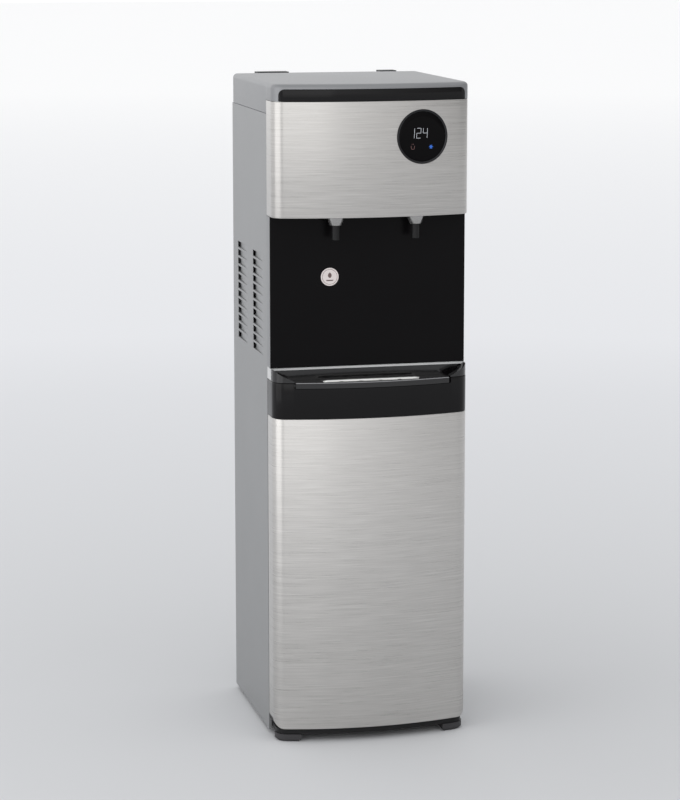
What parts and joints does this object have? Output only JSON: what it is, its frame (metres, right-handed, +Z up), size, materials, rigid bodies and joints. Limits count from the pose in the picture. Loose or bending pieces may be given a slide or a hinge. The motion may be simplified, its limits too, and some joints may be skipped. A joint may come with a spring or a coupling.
{
  "type": "water dispenser",
  "caption": "Free-standing bottom-load water dispenser with hot and cold taps over an open alcove, a lift-out drip tray and a hinged door to the bottle bay.",
  "frame": {"origin": "centre of the bounding box footprint, on the floor plane under the feet", "axes": "+Z up, -Y out of the dispensing front, +X to the right as seen from the front"},
  "size_m": [0.31, 0.3631, 1.03],
  "materials": {
    "black_plastic": "fine spark texture",
    "grey_plastic": "satin moulded",
    "silver_paint": "satin silver powder coat",
    "galvanised": "zinc coated sheet",
    "silver_plastic": "satin moulded",
    "black_gloss": "polished",
    "stainless": "horizontally brushed",
    "light_plastic": "satin moulded",
    "label_white": "printed label",
    "white_plastic": "satin moulded",
    "foam": "expanded foam",
    "black_steel": "black enamel",
    "blue_plastic": "satin moulded",
    "silicone": "translucent silicone",
    "circuit_board": "solder mask",
    "red_plastic": "polished",
    "green_plastic": "polished"
  },
  "bodies": {
    "cabinet": {"base_pan": "black_plastic", "foot_front_right": "grey_plastic", "foot_front_left": "grey_plastic", "foot_rear_right": "grey_plastic", "foot_rear_left": "grey_plastic", "side_panel_right": "silver_paint", "side_panel_left": "silver_paint", "rear_panel_lower": "galvanised", "rear_panel_upper": "galvanised", "top_cover": "silver_plastic", "gloss_band": "black_gloss", "upper_fascia": "stainless", "dial_bezel": "black_plastic", "dial_lens": "black_gloss", "head_soffit": "black_plastic", "splash_panel": "black_gloss", "alcove_frame": "silver_plastic", "lip_trim": "light_plastic", "tray_housing": "black_gloss", "badge_disc": "label_white", "nozzle_collar_hot": "grey_plastic", "nozzle_collar_cold": "grey_plastic", "nozzle_spout_hot": "black_plastic", "nozzle_spout_cold": "black_plastic", "tap_valve_hot": "white_plastic", "tap_valve_cold": "white_plastic", "hot_tank": "stainless", "cold_tank": "stainless", "cold_foam": "foam", "tank_shelf": "galvanised", "mid_deck": "galvanised", "bay_wall_left": "white_plastic", "bay_wall_right": "white_plastic", "bay_wall_rear": "white_plastic", "compressor": "black_steel", "water_pump": "white_plastic", "probe_holder": "white_plastic", "pump_hose": "silicone", "condenser": "black_steel", "rear_spacer_left": "black_plastic", "rear_spacer_right": "black_plastic", "control_board": "circuit_board", "switch_box": "black_plastic", "drain_spout": "white_plastic", "cord_inlet": "black_plastic", "hinge_pin_lower": "galvanised", "hinge_pin_upper": "galvanised"},
    "door": {"door_skin": "stainless", "door_cap": "black_gloss", "door_liner": "grey_plastic", "door_rail": "black_plastic"},
    "drip_tray": {"drip_tray": "black_gloss"},
    "drip_grille": {"drip_grille": "stainless"},
    "probe": {"probe_tube": "stainless", "probe_cap": "blue_plastic", "probe_hose": "silicone"},
    "rocker_hot": {"rocker_hot": "red_plastic"},
    "rocker_cold": {"rocker_cold": "green_plastic"},
    "drain_cap": {"drain_cap": "grey_plastic"}
  },
  "joints": [
    {"name": "door_hinge", "type": "hinge", "parent": "cabinet", "child": "door", "pos_m": [0.149, -0.1195, 0], "axis": [0, 0, 1], "range_deg": [0, 110]},
    {"name": "drip_tray_lift", "type": "slide", "parent": "cabinet", "child": "drip_tray", "axis": [0, 0, 1], "range_m": [0, 0.06]},
    {"name": "grille_lift", "type": "slide", "parent": "drip_tray", "child": "drip_grille", "axis": [0, 0, 1], "range_m": [0, 0.04]},
    {"name": "probe_lift", "type": "slide", "parent": "cabinet", "child": "probe", "axis": [0, 0, 1], "range_m": [0, 0.012], "deforming": ["probe_hose"]},
    {"name": "rocker_hot_tilt", "type": "hinge", "parent": "cabinet", "child": "rocker_hot", "pos_m": [0.091, 0.156, 0.885], "axis": [1, 0, 0], "range_deg": [-16, 0]},
    {"name": "rocker_cold_tilt", "type": "hinge", "parent": "cabinet", "child": "rocker_cold", "pos_m": [0.119, 0.156, 0.885], "axis": [1, 0, 0], "range_deg": [-16, 0]},
    {"name": "drain_cap_turn", "type": "hinge", "parent": "cabinet", "child": "drain_cap", "pos_m": [-0.104, 0.17, 0.835], "axis": [0, 1, 0], "continuous": true}
  ]
}
